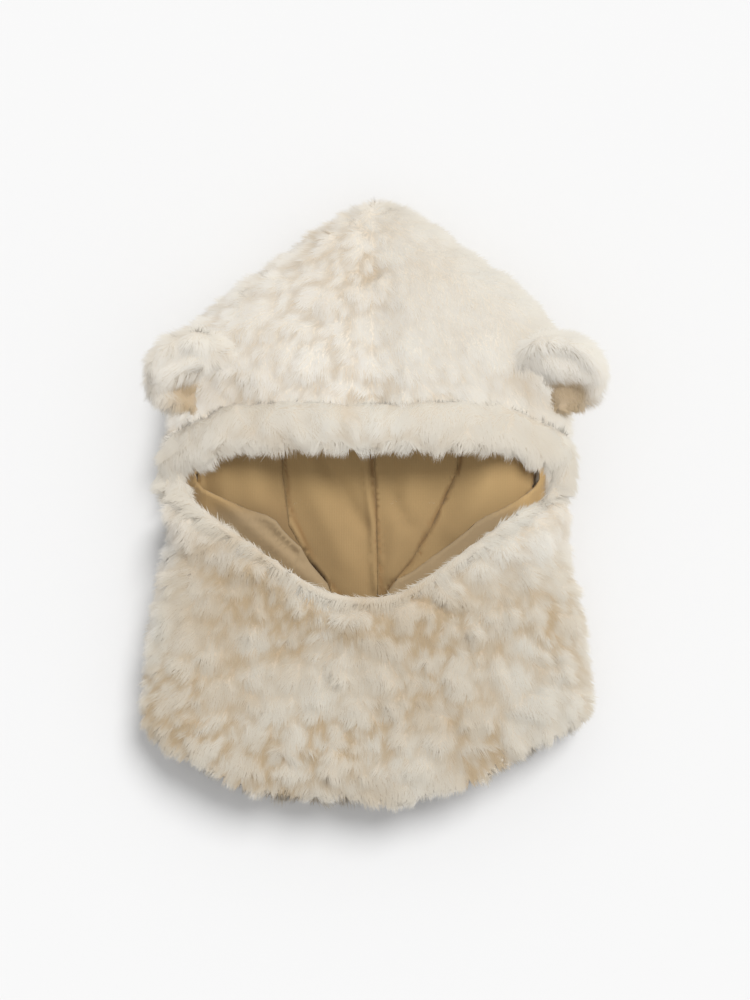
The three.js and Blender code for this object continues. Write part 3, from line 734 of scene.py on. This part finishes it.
    def roots(self, count):
        """Random places on the shell's outside, with their normals."""
        mesh = self.shell.data
        mesh.calc_loop_triangles()
        corners = rows_of(mesh.loop_triangles, "vertices", 3, np.int32)
        points, normals = points_of(mesh), points_of(mesh, "normal")
        a, b, c = (points[corners[:, k]] for k in range(3))
        areas = np.linalg.norm(np.cross(b - a, c - a), axis=1)
        facing = np.mean([normals[corners[:, k]][:, 2] for k in range(3)], axis=0)
        height = (a[:, 2] + b[:, 2] + c[:, 2]) / 3
        areas[self.inner[corners].any(axis=1)] = 0
        under = (facing < -0.35) & (height < 24 * MM)
        areas[under] *= self.sizes.under_share
        if self.kind == "rim":
            areas[facing < -0.15] *= 0.05
            middle = (a + b + c) / 3
            at_corners = [normals[corners[:, k]] for k in range(3)]
            facing_out = np.mean([flow(middle, corner, "rim") * corner for corner in at_corners], axis=0).sum(axis=1)
            areas *= np.where(middle[:, 1] < 5 * MM, 0.8 + 0.2 * smooth((facing_out + 0.55) / 0.5), 1)
        picked = self.rng.choice(len(areas), count, p=areas / areas.sum())
        share = np.sqrt(self.rng.random(count))
        other = self.rng.random(count)
        weights = np.stack([1 - share, share * (1 - other), share * other], axis=1)
        found = np.einsum("ik,ikj->ij", weights, points[corners[picked]])
        leaning = unit(np.einsum("ik,ikj->ij", weights, normals[corners[picked]]))
        hollow = rows_of(mesh.attributes["hollow"].data, "value", 1)[:, 0]
        hollow = np.einsum("ik,ik->i", weights, hollow[corners[picked]])
        return found, leaning, under[picked], hollow

    def make_hairs(self, name, count, keep=None):
        """One piece of joined hairs: each is a closed spike of four faces, leaning with the nap of its tuft."""
        roots, normals, under, hollow = self.roots(count)
        if keep is not None:
            kept = keep(roots)
            roots, normals, under, hollow = roots[kept], normals[kept], under[kept], hollow[kept]
        count = len(roots)
        rng, sizes = self.rng, self.sizes
        nearest, _, _ = nearest_two(roots * FLAT, self.centres * FLAT)
        centres, centre_normals = self.centres[nearest], self.centre_normals[nearest]
        clump = clumpiness(roots)
        length = sizes.hair_length * (0.62 + 0.5 * rng.random(count)) * (1 + 0.12 * noise(roots, 18 * MM, 21))
        length = np.where(under, length * 0.55, length)
        length *= self.like["long"]
        if self.kind == "ear":
            length *= 1 - 0.45 * hollow
        if self.kind == "rim":
            lower = smooth((5 * MM - roots[:, 1]) / (12 * MM))
            facing_out = np.sum(flow(roots, normals, "rim") * normals, axis=1)
            length *= 1 + lower * (0.35 - 0.6 * smooth((0.1 - facing_out) / 0.5))
        swirl = np.stack([lattice(np.floor(centres * 1e5), 31 + k) for k in range(3)], axis=1)
        nap = unit(flow(roots, normals, self.kind) + swirl * (sizes.tuft_swirl * clump)[:, None])
        nap = unit(nap - normals * np.sum(nap * normals, axis=1)[:, None])
        lift = sizes.hair_lift * (0.75 + 0.5 * rng.random(count)) * self.like["lift"]
        lift = np.where(under, 0.12, lift)
        loose = rng.normal(0, 0.12, (count, 3))
        direction = unit(normals * lift[:, None] + nap * (1 - lift * 0.55)[:, None] + loose)
        tips = roots + direction * length[:, None]
        centre_tip = centres + (centre_normals * 0.75 + nap * 0.8) * length[:, None]
        pull = (sizes.tuft_pull * clump)[:, None]
        tips = tips + (centre_tip - tips) * np.where(under[:, None], 0, pull)
        tips[:, 2] = np.maximum(tips[:, 2], 0.4 * MM)
        direction = unit(tips - roots)
        open_to = unit(normals * [1, 1, 0] + UPWARD * (0.9 + np.maximum(normals[:, 2:], 0)))
        across = unit(np.cross(direction, open_to))
        outward = np.cross(across, direction)
        half = (sizes.hair_width * 0.5 * (0.7 + 0.6 * rng.random(count)))[:, None]
        buried = roots - normals * 0.4 * MM
        ring = [buried + across * half, buried - across * half, buried - outward * half * 0.5]
        points = np.stack([*ring, tips], axis=1).reshape(-1, 3)
        soft = unit(normals * [1, 1, 0] + UPWARD * (sizes.evenness + np.maximum(normals[:, 2:], 0)))
        mesh = spikes(name, points, soft)
        through = mesh.attributes.new("through", "FLOAT", "FACE")
        shares = [sizes.side_translucency, sizes.translucency, sizes.side_translucency, sizes.side_translucency]
        through.data.foreach_set("value", np.tile(shares, count).astype(np.float32))
        set_values(mesh, "pile", np.tile([0.0, 0.0, 0.0, 1.0], count))
        painted_dimming, warm = self.tones(roots, normals, hollow)
        set_values(mesh, "painted_dimming", np.repeat(painted_dimming, 4))
        set_values(mesh, "tone_and_painted_shade", np.repeat(warm, 4))
        hairs = bpy.data.objects.new(name, mesh)
        bpy.context.scene.collection.objects.link(hairs)
        hairs.visible_shadow = False
        return hairs


def refine(piece, step):
    """Splits a sheet's edges until none is longer than a step."""
    only(piece)
    bpy.ops.object.mode_set(mode="EDIT")
    bpy.ops.mesh.select_mode(type="EDGE")
    for _ in range(8):
        bpy.ops.mesh.select_all(action="DESELECT")
        bpy.ops.object.mode_set(mode="OBJECT")
        mesh = piece.data
        points = points_of(mesh)
        ends = rows_of(mesh.edges, "vertices", 2, np.int32)
        long = np.linalg.norm(points[ends[:, 0]] - points[ends[:, 1]], axis=1) > step * 1.4
        if not long.any():
            bpy.ops.object.mode_set(mode="EDIT")
            break
        mesh.edges.foreach_set("select", long)
        bpy.ops.object.mode_set(mode="EDIT")
        bpy.ops.mesh.subdivide(number_cuts=1)
        bpy.ops.mesh.select_all(action="SELECT")
        bpy.ops.mesh.quads_convert_to_tris(quad_method="SHORTEST_DIAGONAL", ngon_method="BEAUTY")
    bpy.ops.object.mode_set(mode="OBJECT")


def smooth_sheet(piece, passes):
    """Softens the facets of a thin sheet and leaves its cut edges where they are."""
    mesh = piece.data
    points = points_of(mesh)
    normals = rows_of(mesh.polygons, "normal", 3)
    faces = {}
    for face in mesh.polygons:
        for key in face.edge_keys:
            faces.setdefault(key, []).append(face.index)
    sharp = [key for key, pair in faces.items() if len(pair) == 2 and normals[pair[0]] @ normals[pair[1]] < 0.5]
    edge = {i for key in sharp for i in key}
    tree = KDTree(len(edge))
    for i in edge:
        tree.insert(points[i], i)
    tree.balance()
    edge = np.array(sorted(edge))
    points[edge] += points_of(mesh, "normal")[edge] * 0.7 * MM
    set_points(mesh, points)
    group = piece.vertex_groups.new(name="inside")
    for i, point in enumerate(points):
        group.add([i], float(smooth(tree.find(point)[2] / (6 * MM))), "REPLACE")
    finished(piece, "SMOOTH", factor=0.5, iterations=passes, vertex_group="inside")


def fold_height(points, folds):
    """How far the folds of a table raise the cloth at each point."""
    height = np.zeros(len(points))
    for line, wide, high in folds.values():
        height += high * MM * along(points, line, wide)
    return height


def shape_gore(gore, shade, sizes):
    """Raises the folds of a gore, draws in what the fur hides, and stores its painted shade, where it is faced and
    where it is sewn.
    """
    points = points_of(gore.data)
    middle = (points[:, 2].max() + points[:, 2].min()) / 2
    back = smooth((middle + 4 * MM - points[:, 2]) / (8 * MM))
    seam = np.min([line_distance(points, line) for line in LINING_SEAMS], axis=0)
    puff = sizes.pucker * (1 - np.exp(-seam / (5 * MM))) - sizes.pucker * 0.8
    across = np.abs(points[:, 0] - MIDDLE_X)
    bay = smooth((across - 42 * MM) / (30 * MM))
    bay *= smooth((104 * MM - across) / (22 * MM)) * smooth((points[:, 1] + 60 * MM) / (30 * MM))
    rise = puff + 0.8 * MM * noise(points, 26 * MM, 61) + fold_height(points, LINING_FOLDS)
    rise += sizes.side_bay * bay
    drop = fold_height(points, FACING_FOLDS) + 0.5 * MM * noise(points, 22 * MM, 62)
    points[:, 2] += back * rise + (1 - back) * np.where(points[:, 1] < 47 * MM, drop, 0)
    points[:, 1] += FACING_UP * MM * (1 - back) * smooth((points[:, 1] - 12 * MM) / (8 * MM))
    upper = smooth((points[:, 1] - 85 * MM) / (40 * MM))
    points[:, 0] -= (points[:, 0] - MIDDLE_X) * HIDDEN_IN * upper
    points[:, 1] -= HIDDEN_DOWN * MM * upper
    set_points(gore.data, points)
    # Painted light: less painted shade near the brow, where the brow casts its shadow on the lining
    near_brow = smooth((points[:, 1] - place(0, 530)[1]) / (34 * MM))
    set_values(gore.data, "shade", shade * (1 - 0.7 * near_brow))
    # The turned-in edge, which the lining's material paints with shade
    lower = smooth((place(0, 500)[1] - points[:, 1]) / (12 * MM))
    set_values(gore.data, "facing", (1 - back) * lower)
    set_values(gore.data, "seam", np.exp(-((seam / sizes.seam_width) ** 2)) * back)


def beyond_crown(points):
    """How far points are to the right of the seam over the crown."""
    return (points - CROWN_SEAM[0]) @ unit(CROWN_SEAM[1])


def dress(piece, material):
    """Gives a piece its material and slot and lets it ride on the part."""
    piece.data.materials.append(material)
    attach(piece, BODY)


def length(name, default, description):
    """A setting that is a length."""
    return FloatProperty(name=name, description=description, default=default, unit="LENGTH")


def share(name, default, description):
    """A setting that is a share or a factor."""
    return FloatProperty(name=name, description=description, default=default)


def number(name, default, description):
    """A setting that is a whole number."""
    return IntProperty(name=name, description=description, default=default)


def tint(name, default, description):
    """A setting that is a colour."""
    return FloatVectorProperty(name=name, description=description, default=default, subtype="COLOR")


class HoodFurSizes(bpy.types.PropertyGroup):
    """Sizes and colours of the fur."""

    hair_length: length("Hair length", 7.2 * MM, "Length of a hair")
    hair_width: length("Hair width", 0.5 * MM, "Width of a hair at its root")
    hair_lift: share("Hair lift", 0.5, "How upright the hairs stand")
    tuft_size: length("Tuft size", 10 * MM, "Distance between tufts")
    tuft_height: length("Tuft height", 3.4 * MM, "How far tufts stand out")
    tuft_pull: share("Tuft pull", 0.26, "How far hairs gather to their tuft's tip")
    tuft_swirl: share("Tuft swirl", 0.6, "How much each tuft leans its own way")
    shell_step: length("Shell step", 2.6 * MM, "Mesh size of the underfur")
    inset: length("Inset", 1.2 * MM, "How far the underfur stays inside the solid")
    ear_puff: length("Ear puff", 3.2 * MM, "How far the ears are plumped up")
    wall_gap: length("Wall gap", 2.5 * MM, "How far the wall stays behind the lining")
    shell_smoothing: number("Shell smoothing", 8, "Passes that soften the underfur")
    under_share: share("Under share", 0.12, "Share of hairs on the side it lies on")
    hood_hairs: number("Hood hairs", 36000, "Hairs on each half of the hood")
    cape_hairs: number("Cape hairs", 38500, "Hairs on each half of the cape")
    rim_hairs: number("Rim hairs", 24000, "Hairs on the rim of the face")
    ear_hairs: number("Ear hairs", 9000, "Hairs on each ear")
    evenness: share("Evenness", 1.1, "How evenly light spreads in the pile")
    translucency: share("Translucency", 0.15, "Share of light let through a hair's upper face")
    side_translucency: share("Side translucency", 0.4, "Share of light let through its other faces")
    tip_colour: tint("Tip", (0.775, 0.768, 0.752), "Colour of the tips")
    root_colour: tint("Root", (0.72, 0.675, 0.6), "Colour at the roots")
    # Painted shade: the colour that the hairs are darkened towards where they turn from the light
    painted_shade_colour: tint("Dim", (0.585, 0.56, 0.5), "Colour where the fur catches less light")
    # Painted shade between the tufts, in creases and down the cape, which also carries warmth that differs at random
    warm_tone_and_shade_colour: tint("Warm", (0.43, 0.331, 0.205), "Colour deep in the fur")
    # The underfur is partly its own tan and partly painted shade for the hairs' shadows, which they do not cast; then
    # its painted shade where it turns from the light
    underfur_colour_and_shade: tint("Underfur", (0.7, 0.655, 0.58), "Colour of the underfur")
    underfur_painted_shade_colour: tint("Dim underfur", (0.53, 0.487, 0.415), "Colour of it where it is dim")
    # Painted shade in the creases and between the tufts
    deep_colour: tint("Deep underfur", (0.43, 0.335, 0.224), "Colour in the creases")
    backing_colour: tint("Backing", (0.52, 0.39, 0.22), "Colour of the wall behind the lining")
    # How strongly painted shade warms the fur between its tufts and down the cape
    hollow_painted_shade: share("Hollow tone", 0.8, "How much warmer the fur is between tufts")
    low_painted_shade: share("Lower tone", 0.2, "How much warmer the fur is on the cape")


class HoodLiningSizes(bpy.types.PropertyGroup):
    """Sizes and colours of the lining."""

    step: length("Mesh step", 3.2 * MM, "Mesh size along the lining")
    smoothing: number("Smoothing", 10, "Passes that soften the cloth")
    pucker: length("Pucker", 1.8 * MM, "How far the cloth rises beside a seam")
    side_bay: length("Side bay", 7 * MM, "How far the side gores belly out")
    seam_width: length("Seam width", 1.2 * MM, "Half the width of the shade in a seam")
    stitch: length("Stitch", 0.7 * MM, "Width of a column of stitches")
    # The lining's colour and its lighter clouds; each gore is mixed between them by its painted shade
    colour: tint("Colour", (0.235, 0.15, 0.065), "Main colour")
    light_colour: tint("Light", (0.57, 0.385, 0.171), "Lighter clouds")
    deep_colour: tint("Deep", (0.27, 0.16, 0.058), "Colour between stitches")
    seam_colour: tint("Seam", (0.26, 0.15, 0.055), "Colour in the seams")
    # Painted shade on the turned-in edge, which lies in the shade of the rim's fur
    facing_shade_colour: tint("Facing", (0.3, 0.213, 0.115), "Colour of the turned-in edge")


class HoodStageSizes(bpy.types.PropertyGroup):
    """The floor, the lights and the camera."""

    floor_size: length("Floor", 8.0, "Side of the floor")
    floor_colour: tint("Floor colour", (0.703, 0.703, 0.703), "Colour of the floor")
    key_power: share("Key power", 2.64, "Strength of the large soft light")
    key_softness: share("Key softness", 0.5, "How wide the light looks, in radians")
    sky: share("Sky", 0.71, "Strength of the light from all round")
    in_scale: length("Height in scale", 40 * MM, "Height that the picture has in scale")
    lens: share("Lens", 100.0, "Focal length in millimetres")


def cover(coat, hairs):
    """Makes and dresses the shell of a coat and its hairs, each with their count and which roots they keep."""
    shell = coat.make_shell()
    dress(shell, underfur_finish(coat.sizes))
    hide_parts(*coat.nodes)
    for name, (count, keep) in hairs.items():
        dress(coat.make_hairs(name, count, keep), hair_finish(coat.sizes))
    return shell


class HOOD_OT_hood_fur(bpy.types.Operator):
    """Makes the fur of the two halves of the hood"""

    bl_idname = "hood.hood_fur"
    bl_label = "Hood fur"

    def execute(self, context):
        sizes = context.scene.hood_fur
        cover(Coat("hood_fur", ("hood_left", "hood_right"), "hood", sizes, 100), {
            "hood_left_hairs": (sizes.hood_hairs * 2, lambda points: beyond_crown(points) < 0),
            "hood_right_hairs": (sizes.hood_hairs * 2, lambda points: beyond_crown(points) > 0),
        })
        return {"FINISHED"}


class HOOD_OT_cape_fur(bpy.types.Operator):
    """Makes the fur of the neck cape"""

    bl_idname = "hood.cape_fur"
    bl_label = "Cape fur"

    def execute(self, context):
        sizes = context.scene.hood_fur
        cover(Coat("neck_cape_fur", ("neck_cape",), "cape", sizes, 110), {
            "cape_left_hairs": (sizes.cape_hairs * 2, lambda points: points[:, 0] < 0),
            "cape_right_hairs": (sizes.cape_hairs * 2, lambda points: points[:, 0] >= 0),
        })
        return {"FINISHED"}


class HOOD_OT_rim_fur(bpy.types.Operator):
    """Makes the rolled fur rim of the face opening"""

    bl_idname = "hood.rim_fur"
    bl_label = "Rim fur"

    def execute(self, context):
        sizes = context.scene.hood_fur
        coat = Coat("face_rim_fur", ("face_rim",), "rim", sizes, 120)
        shell = cover(coat, {"face_rim_hairs": (sizes.rim_hairs, None)})
        shell.visible_shadow = False
        return {"FINISHED"}


class HOOD_OT_ears(bpy.types.Operator):
    """Makes the two cupped ears"""

    bl_idname = "hood.ears"
    bl_label = "Ears"

    def execute(self, context):
        sizes = context.scene.hood_fur
        for seed, node in enumerate(("ear_left", "ear_right")):
            coat = Coat(node + "_fur", (node,), "ear", sizes, 130 + seed)
            shell = cover(coat, {node + "_hairs": (sizes.ear_hairs, None)})
            shell.visible_shadow = False
        return {"FINISHED"}


class HOOD_OT_lining(bpy.types.Operator):
    """Makes the gores of the knitted lining and the lining of the cape"""

    bl_idname = "hood.lining"
    bl_label = "Lining"

    def execute(self, context):
        sizes = context.scene.hood_lining
        cloth = lining_finish(sizes)
        for node, cut in LINING_CUTS.items():
            gore = copy_of(node, node + "_cloth")
            refine(gore, sizes.step)
            smooth_sheet(gore, sizes.smoothing)
            shape_gore(gore, cut["shade"], sizes)
            only(gore)
            bpy.ops.object.shade_smooth_by_angle(angle=math.radians(50))
            dress(gore, cloth)
            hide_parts(node)
        return {"FINISHED"}


class HOOD_OT_stage(bpy.types.Operator):
    """Makes the pale floor, the soft light and the camera"""

    bl_idname = "hood.stage"
    bl_label = "Stage"

    def execute(self, context):
        stage = context.scene.hood_stage
        bpy.ops.object.select_all(action="DESELECT")
        bpy.ops.mesh.primitive_plane_add(size=stage.floor_size, location=(0, 0, -0.2 * MM))
        floor = context.active_object
        floor.name = "floor"
        constants = {"Roughness": 0.9, "Base Color": colour(stage.floor_colour), "Specular IOR Level": 0.2}
        finish = Finish("pale floor", constants)
        floor.data.materials.append(finish.material)
        world = bpy.data.worlds.new("soft room")
        world.use_nodes = True
        background = next(n for n in world.node_tree.nodes if n.type == "BACKGROUND")
        background.inputs["Color"].default_value = (1, 1, 1, 1)
        background.inputs["Strength"].default_value = stage.sky
        context.scene.world = world
        bpy.ops.object.light_add(type="SUN", location=KEY_FROM)
        key = context.active_object
        key.data.angle = stage.key_softness
        key.data.energy = stage.key_power
        key.rotation_euler = Vector(KEY_FROM).to_track_quat("Z", "Y").to_euler()
        camera_data = bpy.data.cameras.new("camera")
        camera = bpy.data.objects.new("camera", camera_data)
        context.scene.collection.objects.link(camera)
        camera_data.lens = stage.lens
        half_height = PHOTO_HEIGHT * PIXEL / 2
        distance = half_height / (camera_data.sensor_width / 2 / stage.lens)
        x, y = place(PHOTO_WIDTH / 2, PHOTO_HEIGHT / 2)
        camera.location = (x, y, stage.in_scale + distance)
        context.scene.camera = camera
        context.scene.view_settings.view_transform = "Standard"
        return {"FINISHED"}


class HOOD_PT_panel(bpy.types.Panel):
    """Lists the steps that dress the hood"""

    bl_label = "Animal hood scarf"
    bl_space_type = "VIEW_3D"
    bl_region_type = "UI"
    bl_category = "Hood"

    def draw(self, context):
        for step in STEPS:
            self.layout.operator(step.bl_idname)


STEPS = (HOOD_OT_hood_fur, HOOD_OT_cape_fur, HOOD_OT_rim_fur, HOOD_OT_ears, HOOD_OT_lining, HOOD_OT_stage)
SIZES = {"hood_fur": HoodFurSizes, "hood_lining": HoodLiningSizes, "hood_stage": HoodStageSizes}


def register():
    """Registers the classes and hangs the sizes on the scene."""
    for made in (*SIZES.values(), *STEPS, HOOD_PT_panel):
        bpy.utils.register_class(made)
    for name, group in SIZES.items():
        setattr(bpy.types.Scene, name, PointerProperty(type=group))


def unregister():
    """Takes them away again."""
    for name in SIZES:
        delattr(bpy.types.Scene, name)
    for made in reversed((*SIZES.values(), *STEPS, HOOD_PT_panel)):
        bpy.utils.unregister_class(made)


def main():
    """Runs each step in order."""
    register()
    for step in STEPS:
        group, name = step.bl_idname.split(".")
        getattr(getattr(bpy.ops, group), name)()


if __name__ == "__main__":
    main()
